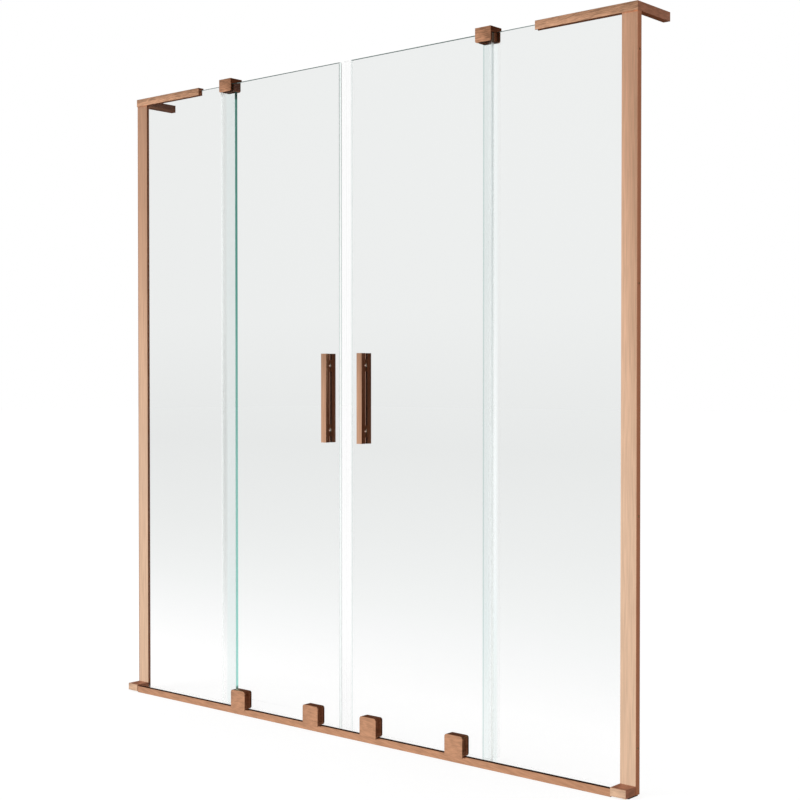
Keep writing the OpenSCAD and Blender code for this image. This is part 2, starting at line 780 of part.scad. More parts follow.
wall_profile(LEFT);  // left_wall_profile
wall_profile(RIGHT);  // right_wall_profile
fixed_glass(LEFT);  // left_fixed_glass
fixed_glass(RIGHT);  // right_fixed_glass
top_brace(LEFT);  // left_top_brace
top_brace(RIGHT);  // right_top_brace
top_guide(LEFT);  // left_top_guide
top_guide(RIGHT);  // right_top_guide
end_cap(LEFT);  // left_end_cap
end_cap(RIGHT);  // right_end_cap
bottom_rail();
glazing_gaskets();
wall_seals();
foot_seals();
guide_liners();
frame_keys();
frame_screws();
door_glass(LEFT);  // left_door_glass
trailing_seal(LEFT);  // left_trailing_seal
magnet_seal(LEFT);  // left_magnet_seal
magnet_strip(LEFT);  // left_magnet_strip
bottom_sweep(LEFT);  // left_bottom_sweep
handle_front(LEFT);  // left_handle_front
handle_back(LEFT);  // left_handle_back
handle_pads(LEFT);  // left_handle_pads
handle_fixings(LEFT);  // left_handle_fixings
glass_bushes(LEFT);  // left_glass_bushes
roller_housing(LEFT, outer_block_x);  // left_outer_roller_housing
roller_housing(LEFT, inner_block_x);  // left_inner_roller_housing
roller_carrier(LEFT, outer_block_x);  // left_outer_roller_carrier
roller_carrier(LEFT, inner_block_x);  // left_inner_roller_carrier
roller_pads(LEFT);  // left_roller_pads
roller_axles(LEFT);  // left_roller_axles
roller_screws(LEFT);  // left_roller_screws
door_glass(RIGHT);  // right_door_glass
trailing_seal(RIGHT);  // right_trailing_seal
magnet_seal(RIGHT);  // right_magnet_seal
magnet_strip(RIGHT);  // right_magnet_strip
bottom_sweep(RIGHT);  // right_bottom_sweep
handle_front(RIGHT);  // right_handle_front
handle_back(RIGHT);  // right_handle_back
handle_pads(RIGHT);  // right_handle_pads
handle_fixings(RIGHT);  // right_handle_fixings
glass_bushes(RIGHT);  // right_glass_bushes
roller_housing(RIGHT, outer_block_x);  // right_outer_roller_housing
roller_housing(RIGHT, inner_block_x);  // right_inner_roller_housing
roller_carrier(RIGHT, outer_block_x);  // right_outer_roller_carrier
roller_carrier(RIGHT, inner_block_x);  // right_inner_roller_carrier
roller_pads(RIGHT);  // right_roller_pads
roller_axles(RIGHT);  // right_roller_axles
roller_screws(RIGHT);  // right_roller_screws
wheel(LEFT, outer_block_x);  // left_outer_wheel
bearing(LEFT, outer_block_x);  // left_outer_bearing
wheel(LEFT, inner_block_x);  // left_inner_wheel
bearing(LEFT, inner_block_x);  // left_inner_bearing
wheel(RIGHT, outer_block_x);  // right_outer_wheel
bearing(RIGHT, outer_block_x);  // right_outer_bearing
wheel(RIGHT, inner_block_x);  // right_inner_wheel
bearing(RIGHT, inner_block_x);  // right_inner_bearing
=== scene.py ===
"""Sliding bath screen: brushed copper fittings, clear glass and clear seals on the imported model."""

import json
import math

import bmesh
import bpy
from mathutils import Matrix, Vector

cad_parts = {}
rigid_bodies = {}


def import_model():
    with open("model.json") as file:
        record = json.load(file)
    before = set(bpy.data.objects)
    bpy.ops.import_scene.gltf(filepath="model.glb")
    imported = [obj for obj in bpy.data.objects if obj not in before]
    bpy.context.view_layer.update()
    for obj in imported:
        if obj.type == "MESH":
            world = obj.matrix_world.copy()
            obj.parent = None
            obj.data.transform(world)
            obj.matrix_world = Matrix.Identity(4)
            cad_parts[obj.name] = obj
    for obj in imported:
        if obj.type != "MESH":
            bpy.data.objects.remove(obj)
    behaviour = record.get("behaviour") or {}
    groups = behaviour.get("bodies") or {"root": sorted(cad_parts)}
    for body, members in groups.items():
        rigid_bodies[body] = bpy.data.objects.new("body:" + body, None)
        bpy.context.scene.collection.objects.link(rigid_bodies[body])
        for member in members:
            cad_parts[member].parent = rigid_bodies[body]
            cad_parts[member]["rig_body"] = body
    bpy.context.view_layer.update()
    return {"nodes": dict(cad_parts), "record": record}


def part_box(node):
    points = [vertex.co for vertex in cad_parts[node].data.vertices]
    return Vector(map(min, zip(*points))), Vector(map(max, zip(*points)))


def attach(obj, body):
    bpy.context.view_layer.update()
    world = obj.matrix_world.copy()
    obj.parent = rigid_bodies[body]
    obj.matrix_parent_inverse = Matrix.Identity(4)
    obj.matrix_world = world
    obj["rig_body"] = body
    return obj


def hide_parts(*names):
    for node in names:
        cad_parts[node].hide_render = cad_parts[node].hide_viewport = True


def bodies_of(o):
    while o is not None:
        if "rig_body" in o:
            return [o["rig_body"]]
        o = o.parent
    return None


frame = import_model()

MM = 0.001
BRACE_TOP = 1.5
SIDES = {"left": -1, "right": 1}
PLACES = ("outer", "inner")
slot_of = {part["node"]: part["material_slot"] for part in frame["record"]["subparts"]}


# Node helpers


def blank_material(name):
    """A material with an empty node tree, and its output node."""
    material = bpy.data.materials.new(name)
    material.use_nodes = True
    material.node_tree.nodes.clear()
    return material, material.node_tree, material.node_tree.nodes.new("ShaderNodeOutputMaterial")


def give(tree, entry, value):
    """Links an input to a socket, or sets it to a plain value."""
    if isinstance(value, bpy.types.NodeSocket):
        tree.links.new(value, entry)
    else:
        entry.default_value = value


def new_node(tree, kind, **values):
    """A node with inputs given by name, where a space is written as an underscore."""
    made = tree.nodes.new(kind)
    for key, value in values.items():
        give(tree, made.inputs[key.replace("_", " ")], value)
    return made


def maths(tree, operation, first, second=0.0):
    """The result of one operation on numbers or sockets."""
    made = tree.nodes.new("ShaderNodeMath")
    made.operation = operation
    for entry, value in zip(made.inputs, (first, second)):
        give(tree, entry, value)
    return made.outputs[0]


def in_range(tree, source, low, high, to_low=0.0, to_high=1.0):
    """source, from low to high, brought to the other range."""
    fit = new_node(
        tree, "ShaderNodeMapRange", Value=source,
        From_Min=low, From_Max=high, To_Min=to_low, To_Max=to_high,
    )
    return fit.outputs["Result"]


def mixed(tree, first, second, share, way="MIX"):
    """Two colours brought together by a share."""
    mix = tree.nodes.new("ShaderNodeMix")
    mix.data_type = "RGBA"
    mix.blend_type = way
    for name, value in (("Factor", share), ("A", first), ("B", second)):
        give(tree, mix.inputs[name], value)
    return mix.outputs["Result"]


def blended(tree, share, first, second):
    """A shader that goes from first to second as share goes from 0 to 1."""
    blend = tree.nodes.new("ShaderNodeMixShader")
    for entry, source in zip(blend.inputs, (share, first, second)):
        tree.links.new(source, entry)
    return blend.outputs["Shader"]


def object_place(tree):
    """Object coordinates, which are the frame's own on every piece."""
    return tree.nodes.new("ShaderNodeTexCoord").outputs["Object"]


def along(tree, axis):
    """The place along one axis of the frame."""
    return new_node(tree, "ShaderNodeSeparateXYZ", Vector=object_place(tree)).outputs[axis]


def height_share(tree):
    """The height over the bath's rim: 0 at the rim and 1 at the braces' top."""
    return in_range(tree, along(tree, "Z"), 0.0, BRACE_TOP)


SEED_STEP = (0.01, 0.017, 0.023)


def grain_noise(tree, grain_mm, detail=3.0, seed=0.0, tilt=0.0, distortion=0.0):
    """Noise with grains of the given size along X, Y and Z, tilted about Y by degrees."""
    turn = new_node(
        tree, "ShaderNodeMapping", Vector=object_place(tree),
        Location=tuple(step * seed for step in SEED_STEP),
        Rotation=(0.0, math.radians(tilt), 0.0),
        Scale=tuple(size * MM for size in grain_mm),
    )
    turn.vector_type = "TEXTURE"
    noise = new_node(
        tree, "ShaderNodeTexNoise", Vector=turn.outputs["Vector"],
        Scale=1.0, Detail=detail, Distortion=distortion,
    )
    return noise.outputs["Fac"]


def colour_ramp(tree, source, stops, easing="LINEAR"):
    """A colour ramp over source, with stops as (position, colour)."""
    ramp = tree.nodes.new("ShaderNodeValToRGB")
    ramp.color_ramp.interpolation = easing
    elements = ramp.color_ramp.elements
    while len(elements) < len(stops):
        elements.new(0.5)
    # Every place is set before any colour, in case a new place moves an element in the list.
    for element, (position, colour) in zip(elements, stops):
        element.position = position
    for element, (position, colour) in zip(elements, stops):
        element.color = (*colour, 1.0)
    tree.links.new(source, ramp.inputs["Fac"])
    return ramp.outputs["Color"]


def darker_and_lighter(colour, spread):
    """A colour made darker and lighter by a share of itself."""
    return tuple(c * (1 - spread) for c in colour), tuple(min(1.0, c * (1 + spread)) for c in colour)


def two_tone(tree, noise, colour, spread):
    """A colour that varies with noise, from darker to lighter by a share of itself."""
    dark, light = darker_and_lighter(colour, spread)
    return colour_ramp(tree, noise, [(0.3, dark), (0.7, light)])


# Materials


WHITE = (1.0, 1.0, 1.0)
GLASS_IOR = 1.5
SEAL_IOR = 1.4
FAINT_MIRROR = (0.06, 0.06, 0.06, 1.0)
OVERLAP_ENDS = 0.404
PANE_SHADOW = (0.9, 0.92, 0.915)
EDGE_SHADOW = (0.8, 0.88, 0.86)
EDGE_RIPPLE = (16.0, 16.0, 70.0)
SEAL_CLOUD = (6.0, 6.0, 110.0)
CLOUD_TO_GRAIN = 12


def brushed_copper(
    name, colour, streaks, fine, spread=0.12, tilt=0.0, roughness=0.3, metallic=1.0, wave=0.5,
    by_height=None,
):
    """Copper-coloured metal with wavy streaks and fine brushing along them.

    by_height is a ramp of painted shade, from the rim to the braces' top, that its colour is multiplied
    by.
    """
    material, tree, out = blank_material(name)
    wavy = grain_noise(tree, streaks, 3.0, 1.3, tilt, wave)
    brushing = grain_noise(tree, fine, 2.0, 4.1, tilt)
    dark, light = darker_and_lighter(colour, spread)
    tone = colour_ramp(tree, wavy, [(0.34, dark), (0.5, colour), (0.66, light)])
    shade = mixed(tree, tone, two_tone(tree, brushing, colour, 0.15), 0.3)
    # Painted shade by height, multiplied into the colour.
    if by_height:
        shade = mixed(tree, shade, colour_ramp(tree, height_share(tree), by_height), 1.0, "MULTIPLY")
    grooves = new_node(tree, "ShaderNodeBump", Height=brushing, Strength=0.12, Distance=0.0002)
    metal = new_node(
        tree, "ShaderNodeBsdfPrincipled", Base_Color=shade, Metallic=metallic,
        Roughness=in_range(tree, brushing, 0.25, 0.75, roughness - 0.05, roughness + 0.07),
        Normal=grooves.outputs["Normal"],
    )
    tree.links.new(metal.outputs["BSDF"], out.inputs["Surface"])
    return material


def let_lamps_through(tree, shader, out, tint):
    """Puts a clear stand-in before shader for rays from lamps, so that glass casts little shadow."""
    path = tree.nodes.new("ShaderNodeLightPath")
    clear = new_node(tree, "ShaderNodeBsdfTransparent", Color=(*tint, 1.0))
    shown = blended(tree, path.outputs["Is Shadow Ray"], shader, clear.outputs["BSDF"])
    tree.links.new(shown, out.inputs["Surface"])


def clear_glass(name, overlap_shade=None):
    """Toughened glass, polished flat, with painted shade that darkens it with height, palest at the rim.

    overlap_shade is a ramp of painted shade from the rim to the braces' top, for where a closed door
    overlaps the pane.
    """
    material, tree, out = blank_material(name)
    # Painted shade: the glass darkens with height above the rim.
    tint = colour_ramp(tree, height_share(tree), PANE_SHADE_BY_HEIGHT)
    # Where a door overlaps, a lighter painted shade by height takes the place of the pane's own.
    if overlap_shade:
        outwards = maths(tree, "ABSOLUTE", along(tree, "X"))
        overlap = in_range(tree, outwards, OVERLAP_ENDS, OVERLAP_ENDS + 1.0 * MM, 1.0, 0.0)
        tint = mixed(tree, tint, colour_ramp(tree, height_share(tree), overlap_shade), overlap)
    glass = new_node(
        tree, "ShaderNodeBsdfPrincipled", Base_Color=tint, Roughness=0.0, IOR=GLASS_IOR,
        Transmission_Weight=1.0, Specular_Tint=FAINT_MIRROR,
    )
    let_lamps_through(tree, glass.outputs["BSDF"], out, PANE_SHADOW)
    return material


def glass_edge(name, stops, roughness, inside_tint, clearness=0.0, gloss=0.5, glow=0.35):
    """The edge of a pane, with painted shade by its height and a faint painted glow, and clear from
    inside.

    clearness is how much of what is behind it shows from outside.
    """
    material, tree, out = blank_material(name)
    ripple = grain_noise(tree, EDGE_RIPPLE, 2.0, 7.7)
    cloudy = colour_ramp(tree, ripple, [(0.3, (0.6, 0.6, 0.6)), (0.7, WHITE)])
    colour = mixed(tree, colour_ramp(tree, height_share(tree), stops), cloudy, 0.08, "MULTIPLY")
    edge = new_node(
        tree, "ShaderNodeBsdfPrincipled", Base_Color=colour, Emission_Color=colour,
        Emission_Strength=glow, Roughness=roughness, IOR=GLASS_IOR, Specular_IOR_Level=gloss,
    )
    inside = new_node(tree, "ShaderNodeBsdfTransparent", Color=(*inside_tint, 1.0))
    facing = tree.nodes.new("ShaderNodeNewGeometry")
    clear_share = in_range(tree, facing.outputs["Backfacing"], 0.0, 1.0, clearness, 1.0)
    shader = blended(tree, clear_share, edge.outputs["BSDF"], inside.outputs["BSDF"])
    let_lamps_through(tree, shader, out, EDGE_SHADOW)
    return material


def clear_plastic(name, colour, share_low, share_high, glow=0.3, guide_painted_shade=None):
    """Soft clear seal with a faint milky body, which shows more at a slant, and a faint painted glow.

    guide_painted_shade is the painted shade that its colour is multiplied by inside the top guide.
    """
    material, tree, out = blank_material(name)
    tone = two_tone(tree, grain_noise(tree, SEAL_CLOUD, 2.0, 2.9), colour, 0.02)
    if guide_painted_shade:
        guided = colour_ramp(tree, height_share(tree), [(0.977, WHITE), (0.98, guide_painted_shade)])
        tone = mixed(tree, tone, guided, 1.0, "MULTIPLY")
    slant = new_node(tree, "ShaderNodeLayerWeight", Blend=0.5)
    body = new_node(
        tree, "ShaderNodeBsdfPrincipled", Base_Color=tone, Emission_Color=tone,
        Emission_Strength=glow, Roughness=0.2, IOR=SEAL_IOR,
        Alpha=in_range(tree, slant.outputs["Facing"], 0.2, 0.95, share_low, share_high),
    )
    tree.links.new(body.outputs["BSDF"], out.inputs["Surface"])
    return material


def moulded(name, colour, roughness, grain=1.1, spread=0.05, metallic=0.0, glow=0.0, gloss=0.5):
    """A plain moulded, rubber or turned finish, with a fine grain of a size in mm; glow is painted light.
    """
    material, tree, out = blank_material(name)
    fine = grain_noise(tree, (grain,) * 3, 3.0, 5.3)
    cloud = grain_noise(tree, (CLOUD_TO_GRAIN * grain,) * 3, 2.0, 0.9)
    tone = two_tone(tree, cloud, colour, spread)
    shade = mixed(tree, tone, two_tone(tree, fine, colour, spread), 0.4)
    skin = new_node(tree, "ShaderNodeBump", Height=fine, Strength=0.1, Distance=0.0001)
    body = new_node(
        tree, "ShaderNodeBsdfPrincipled", Base_Color=shade, Metallic=metallic, Specular_IOR_Level=gloss,
        Roughness=in_range(tree, fine, 0.3, 0.7, roughness - 0.06, roughness + 0.06),
        Normal=skin.outputs["Normal"],
    )
    if glow:
        give(tree, body.inputs["Emission Color"], shade)
        give(tree, body.inputs["Emission Strength"], glow)
    tree.links.new(body.outputs["BSDF"], out.inputs["Surface"])
    return material


# Copper finishes. Streaks and brushing are grain sizes in mm along X, Y and Z.

COPPER = (0.578, 0.298, 0.174)
GUIDE_COPPER = (0.57, 0.29, 0.17)
BRACE_COPPER = (0.68, 0.38, 0.235)
PALE_COPPER = (0.82, 0.554, 0.385)
CAP_COPPER = (0.72, 0.465, 0.31)
HANDLE_COPPER = (0.61, 0.35, 0.225)
# Painted shade: a darker, less metallic copper for faces that turn away from the front.
SIDE_SHADE_COPPER = (0.52, 0.225, 0.13)
FINE_LEVEL = (70.0, 70.0, 0.8)
FINE_UPRIGHT = (0.8, 0.8, 70.0)
BLOCK_STREAKS = (18.0, 18.0, 4.2)
RAIL_STREAKS = (30.0, 30.0, 4.2)
GUIDE_STREAKS = (15.0, 15.0, 1.9)
BRACE_STREAKS = (24.0, 24.0, 2.2)
UPRIGHT_STREAKS = (3.6, 3.6, 90.0)
# Painted shade on the wall profiles, darker towards the braces' top.
PROFILE_SHADE_BY_HEIGHT = [
    (0.08, (0.98, 0.977, 0.964)), (0.35, WHITE), (0.6, (1.0, 0.94, 0.91)), (0.8, (0.95, 0.844, 0.798)),
    (1.0, (0.97, 0.828, 0.777)),
]

rail_copper = brushed_copper("brushed_copper_rail", COPPER, RAIL_STREAKS, FINE_LEVEL, spread=0.2, tilt=8.0)
block_copper = brushed_copper(
    "brushed_copper_block", COPPER, BLOCK_STREAKS, FINE_LEVEL, spread=0.22, tilt=3.0
)
guide_copper = brushed_copper(
    "brushed_copper_guide", GUIDE_COPPER, GUIDE_STREAKS, FINE_LEVEL, spread=0.5, tilt=3.0, wave=0.7
)
brace_copper = brushed_copper(
    "brushed_copper_brace", BRACE_COPPER, BRACE_STREAKS, FINE_LEVEL, spread=0.46, tilt=-3.0, wave=1.0
)
cap_copper = brushed_copper("brushed_copper_cap", CAP_COPPER, BLOCK_STREAKS, FINE_LEVEL, spread=0.2)
profile_copper = brushed_copper(
    "brushed_copper_profile", PALE_COPPER, UPRIGHT_STREAKS, FINE_UPRIGHT, roughness=0.34, metallic=0.85,
    by_height=PROFILE_SHADE_BY_HEIGHT,
)
handle_copper = brushed_copper(
    "brushed_copper_handle", HANDLE_COPPER, UPRIGHT_STREAKS, FINE_UPRIGHT, spread=0.14
)
# Painted shade for the braces' wall faces and the caps' ends, tops and undersides.
painted_side_shade_copper = brushed_copper(
    "painted_side_shade_copper", SIDE_SHADE_COPPER, BLOCK_STREAKS, FINE_LEVEL, spread=0.25, tilt=-10.0, roughness=0.45,
    metallic=0.4,
)

# Glass. The stops are shares of the height up to the braces' top.

# Painted shade: the panes darken with height above the white rim.
PANE_SHADE_BY_HEIGHT = [
    (0.075, WHITE), (0.12, (0.955, 0.96, 0.96)), (0.16, (0.915, 0.925, 0.925)),
    (0.205, (0.875, 0.89, 0.885)), (0.25, (0.85, 0.865, 0.86)), (0.30, (0.83, 0.845, 0.84)),
    (0.43, (0.80, 0.815, 0.81)), (0.62, (0.85, 0.865, 0.86)), (1.0, (0.86, 0.875, 0.87)),
]
# Painted shade where a closed door overlaps a fixed pane, lighter than the pane's own.
OVERLAP_SHADE_BY_HEIGHT = [
    (0.05, (0.9, 0.95, 0.945)), (0.137, (0.875, 0.938, 0.93)), (0.195, (0.886, 0.95, 0.95)),
    (0.283, (0.93, 0.972, 0.975)), (0.42, (0.955, 1.0, 1.0)), (0.547, (0.937, 0.971, 0.97)),
    (0.664, (0.889, 0.935, 0.932)),
]
# Edge stops: the glass's own green, with painted shade that darkens towards the top.
# Their near-black ends are painted reflection of the blocks at the foot and of the guide at the top.
PANE_EDGE_SHADE_STOPS = [
    (0.0345, (0.01, 0.03, 0.02)), (0.037, (0.45, 0.95, 0.86)), (0.35, (0.4, 0.87, 0.77)),
    (0.67, (0.13, 0.46, 0.38)), (0.969, (0.08, 0.26, 0.21)), (0.971, (0.012, 0.06, 0.05)),
]
PANE_ARRIS_SHADE_STOPS = [
    (0.0345, (0.01, 0.03, 0.02)), (0.037, (0.8, 1.0, 0.97)), (0.6, (0.66, 0.95, 0.89)),
    (0.969, (0.5, 0.85, 0.78)), (0.971, (0.012, 0.06, 0.05)),
]
# The door edges' stops hold painted shade too: greyer towards the top, and dark brown inside the guide.
DOOR_EDGE_SHADE_STOPS = [(0.1, (0.95, 0.99, 0.98)), (0.97, (0.88, 0.95, 0.93))]
GUIDED_EDGE_SHADE_STOPS = [
    (0.1, (0.95, 0.99, 0.98)), (0.8, (0.68, 0.74, 0.74)), (0.976, (0.64, 0.7, 0.7)),
    (0.979, (0.07, 0.05, 0.035)),
]
DOOR_ARRIS_SHADE_STOPS = [
    (0.3, (0.8, 0.86, 0.85)), (0.6, (0.5, 0.57, 0.55)), (0.8, (0.27, 0.33, 0.31)),
    (0.97, (0.08, 0.11, 0.1)),
]
TOP_EDGE_SHADE_STOPS = [(0.1, (0.3, 0.42, 0.4)), (0.95, (0.04, 0.07, 0.063))]
INSIDE_DOOR = (0.95, 0.975, 0.97)

pane_glass = clear_glass("clear_pane")
end_pane_glass = clear_glass("clear_end_pane", OVERLAP_SHADE_BY_HEIGHT)
# The glow of every edge is painted light, and the dark tints seen from inside the pane edge and the top
# edge are painted shade.
pane_edge = glass_edge("polished_pane_edge", PANE_EDGE_SHADE_STOPS, 0.15, (0.74, 0.82, 0.81))
pane_arris = glass_edge("ground_pane_arris", PANE_ARRIS_SHADE_STOPS, 0.4, (0.8, 0.87, 0.86))
door_edge = glass_edge("polished_door_edge", DOOR_EDGE_SHADE_STOPS, 0.2, INSIDE_DOOR, glow=0.55)
guided_edge = glass_edge("guided_door_edge", GUIDED_EDGE_SHADE_STOPS, 0.2, INSIDE_DOOR)
door_arris = glass_edge("ground_door_arris", DOOR_ARRIS_SHADE_STOPS, 0.45, (0.8, 0.85, 0.84))
top_edge = glass_edge(
    "ground_top_edge", TOP_EDGE_SHADE_STOPS, 0.45, (0.2, 0.25, 0.24), clearness=0.14, gloss=0.0
)

# Seals, rubber, plastic and steel

# The seals' glow is painted light, and the dark tint of the seal inside the guide is painted shade.
seal_plastic = clear_plastic(
    "clear_seal", (0.95, 0.965, 0.962), 0.06, 0.3, guide_painted_shade=(0.1, 0.07, 0.05)
)
meeting_plastic = clear_plastic("clear_meeting_seal", (0.8, 0.83, 0.825), 0.005, 0.06, glow=0.0)
sweep_plastic = clear_plastic("clear_sweep", (0.97, 0.975, 0.975), 0.02, 0.12)
# Painted shade: a near-black brown on the rail's top and in its groove.
painted_track_shade = moulded("painted_track_shade", (0.05, 0.022, 0.013), 0.6, spread=0.2, gloss=0.0)
pad_plastic = moulded("roller_pad_plastic", (0.05, 0.035, 0.03), 0.4)
# The glow of the magnet strip is painted light.
white_magnet = moulded("white_magnet_strip", (0.93, 0.94, 0.94), 0.45, glow=0.3)
white_nylon = moulded("white_nylon", (0.82, 0.83, 0.82), 0.38)
# The glow of the brown rubber is painted light.
brown_rubber = moulded("brown_rubber", (0.33, 0.12, 0.055), 0.7, glow=0.2)
# Painted shadow: a near-black foot stands in for the shadow in the gap under each end cap.
painted_gap_shadow = moulded("painted_gap_shadow", (0.03, 0.02, 0.016), 0.7)
dark_rubber = moulded("dark_brown_rubber", (0.075, 0.03, 0.018), 0.6)
# Painted light: the handle pads are lightened and glow, to show as a bright line beside the glass.
handle_pad = moulded("handle_pad", (0.66, 0.36, 0.25), 0.6, glow=0.35)
turned_steel = moulded("turned_steel", (0.72, 0.71, 0.7), 0.28, grain=0.7, spread=0.06, metallic=1.0)
# Painted glint: a copper-tinted, glowing steel for the handle fixings.
painted_glint_steel = moulded(
    "painted_glint_steel", (0.84, 0.63, 0.52), 0.35, grain=0.7, spread=0.04, metallic=0.3, glow=0.3
)

FINISH = {
    "copper_anodised": rail_copper,
    "copper_plate": block_copper,
    "clear_glass": pane_glass,
    "clear_seal": seal_plastic,
    "brown_rubber": brown_rubber,
    "soft_pad": handle_pad,
    "magnet": white_magnet,
    "white_nylon": white_nylon,
    "steel": turned_steel,
}


def finish_for(node):
    """The material that a node left as it is wears."""
    if node == "guide_liners":
        return dark_rubber
    if node.endswith("roller_pads"):
        return pad_plastic
    if node == "foot_seals" or node.endswith("bottom_sweep"):
        return sweep_plastic
    if node.endswith("magnet_seal"):
        return meeting_plastic
    return FINISH[slot_of[node]]


# Pieces. Places and sizes are in metres, and screw sizes in mm.


MERGE_GAP = 1e-6
SHARP_ANGLE = math.radians(30)
FLAT_ANGLE = math.radians(0.5)


def body_of(node):
    """The body that a CAD node rides on."""
    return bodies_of(frame["nodes"][node])[0]


def placed(name, mesh, materials):
    """An object for mesh, at the origin."""
    piece = bpy.data.objects.new(name, mesh)
    bpy.context.scene.collection.objects.link(piece)
    for material in materials:
        piece.data.materials.append(material)
    return piece


def as_mesh(solid, name):
    """A bmesh as a new mesh. The bmesh is freed."""
    mesh = bpy.data.meshes.new(name)
    solid.to_mesh(mesh)
    solid.free()
    return mesh


def settle(piece):
    """Turns what a piece's modifiers make into its own mesh, and takes the modifiers off."""
    ready = piece.evaluated_get(bpy.context.evaluated_depsgraph_get())
    mesh = bpy.data.meshes.new_from_object(ready)
    piece.modifiers.clear()
    piece.data = mesh


def take_over(piece, *nodes):
    """Makes a piece stand for some CAD nodes, and ride where they ride."""
    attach(piece, body_of(nodes[0]))
    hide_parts(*nodes)


def merged_copy(node, cut=None):
    """A CAD node's solid as a merged bmesh with whole flat faces, and with an edge at the depth cut."""
    solid = bmesh.new()
    solid.from_mesh(frame["nodes"][node].data)
    bmesh.ops.remove_doubles(solid, verts=solid.verts, dist=MERGE_GAP)
    bmesh.ops.dissolve_limit(
        solid, verts=solid.verts, edges=solid.edges, angle_limit=FLAT_ANGLE,
        use_dissolve_boundaries=False,
    )
    bmesh.ops.recalc_face_normals(solid, faces=solid.faces)
    if cut:
        parts = [*solid.verts, *solid.edges, *solid.faces]
        bmesh.ops.bisect_plane(
            solid, geom=parts, dist=1e-7, plane_co=(0.0, cut, 0.0), plane_no=(0.0, 1.0, 0.0)
        )
    return solid


def eased(node, width, materials, choose=None, segments=2, arris=-1, cut=None):
    """A CAD node's shape with its sharp edges eased by width, and a finish chosen for each face.

    One segment gives a flat ground arris with the material slot arris, and more give a soft edge.
    """
    solid = merged_copy(node, cut)
    for face in solid.faces:
        face.material_index = choose(face) if choose else 0
    mesh = as_mesh(solid, node + "_eased")
    piece = placed(node + "_eased", mesh, materials)
    ease = piece.modifiers.new("eased_edges", "BEVEL")
    ease.width = width
    ease.segments = segments
    ease.limit_method = "ANGLE"
    ease.angle_limit = SHARP_ANGLE
    ease.material = arris
    ease.harden_normals = segments > 1
    ease.use_clamp_overlap = segments > 1
    for polygon in mesh.polygons:
        polygon.use_smooth = segments > 1
    settle(piece)
    return piece


PANE, EDGE, ARRIS, TOP, GUIDED = range(5)
REAR_STRIP = 0.0179
MEETING_EDGE = 0.018
OUTER_EDGE = 0.4
PANE_SHARE = 0.996
SQUARE_ON = 0.9
SLOPED = 0.3


def pane_slot(face):
    """The slot for a pane's broad faces, its edges, or the rear strip of a door's meeting edge."""
    if abs(face.normal.y) > SQUARE_ON:
        return PANE
    middle = face.calc_center_median()
    return ARRIS if abs(middle.x) < MEETING_EDGE and middle.y > REAR_STRIP else EDGE


def finish_pane(node, edge, arris, ground):
    """A pane with ground arrises, kept a hair off what grips its two broad faces."""
    is_door = edge is door_edge
    glass, cut = (pane_glass, REAR_STRIP) if is_door else (end_pane_glass, None)
    pane = eased(node, ground, [glass, edge, arris, top_edge, guided_edge], pane_slot, 1, ARRIS, cut)
    for polygon in pane.data.polygons:
        is_underside = polygon.normal.z < -SLOPED and abs(polygon.normal.x) < 0.1
        on_outer_edge = polygon.material_index != PANE and abs(polygon.center.x) > OUTER_EDGE
        if polygon.normal.z > SLOPED:
            polygon.material_index = TOP
        elif is_underside or (is_door and on_outer_edge):
            polygon.material_index = GUIDED
    depths = [vertex.co.y for vertex in pane.data.vertices]
    middle = (min(depths) + max(depths)) / 2
    for vertex in pane.data.vertices:
        vertex.co.y = middle + PANE_SHARE * (vertex.co.y - middle)
    take_over(pane, node)


WALL_FACES = 0.735
TRACK_FLOOR = 0.0105
TRACK_REACH = 0.005
BEHIND_GLASS = 0.016


def by_front(face):
    """Slot 0 for the faces along the screen's length, and slot 1, a painted shade, for ends, tops and
    undersides.
    """
    return 0 if abs(face.normal.y) > SQUARE_ON else 1


def by_wall(face):
    """Slot 1, a painted shade, for the faces next to the wall, and slot 0 for the rest."""
    middle = face.calc_center_median()
    return 1 if abs(face.normal.x) > SQUARE_ON and abs(middle.x) > WALL_FACES else 0


def by_track(face):
    """Slot 1, a painted shade, for the rail's top and the inside of its groove, and slot 0 for the rest.
    """
    middle = face.calc_center_median()
    return 1 if middle.z > TRACK_FLOOR and abs(middle.y) < TRACK_REACH else 0


def by_pad(face):
    """Slot 0, lightened and glowing as painted light, for the pads under a front bar, and slot 1 for those
    under a back bar.
    """
    return 0 if face.calc_center_median().y < BEHIND_GLASS else 1


def finish_eased(node, width, materials, choose=None):
    """A piece with softly eased edges in the place of its CAD node."""
    take_over(eased(node, width, materials, choose), node)


PANE_GROUND = 0.5 * MM
DOOR_GROUND = 0.8 * MM
TRIM_EASE = 0.35 * MM
BLOCK_EASE = 0.4 * MM
HANDLE_EASE = 0.5 * MM
THIN_EASE = 0.2 * MM

for side in SIDES:
    finish_pane(f"{side}_fixed_glass", pane_edge, pane_arris, PANE_GROUND)
    finish_pane(f"{side}_door_glass", door_edge, door_arris, DOOR_GROUND)
    finish_eased(f"{side}_wall_profile", TRIM_EASE, [profile_copper])
    finish_eased(f"{side}_top_brace", TRIM_EASE, [brace_copper, painted_side_shade_copper], by_wall)
    finish_eased(f"{side}_top_guide", TRIM_EASE, [guide_copper])
    finish_eased(f"{side}_end_cap", TRIM_EASE, [cap_copper, painted_side_shade_copper], by_front)
    for part in ("handle_front", "handle_back"):
        finish_eased(f"{side}_{part}", HANDLE_EASE, [handle_copper])
    finish_eased(f"{side}_handle_pads", THIN_EASE, [handle_pad, dark_rubber], by_pad)
    for place in PLACES:
        finish_eased(f"{side}_{place}_roller_housing", BLOCK_EASE, [block_copper])
        finish_eased(f"{side}_{place}_roller_carrier", BLOCK_EASE, [block_copper])
finish_eased("bottom_rail", THIN_EASE, [rail_copper, painted_track_shade], by_track)


# Screws


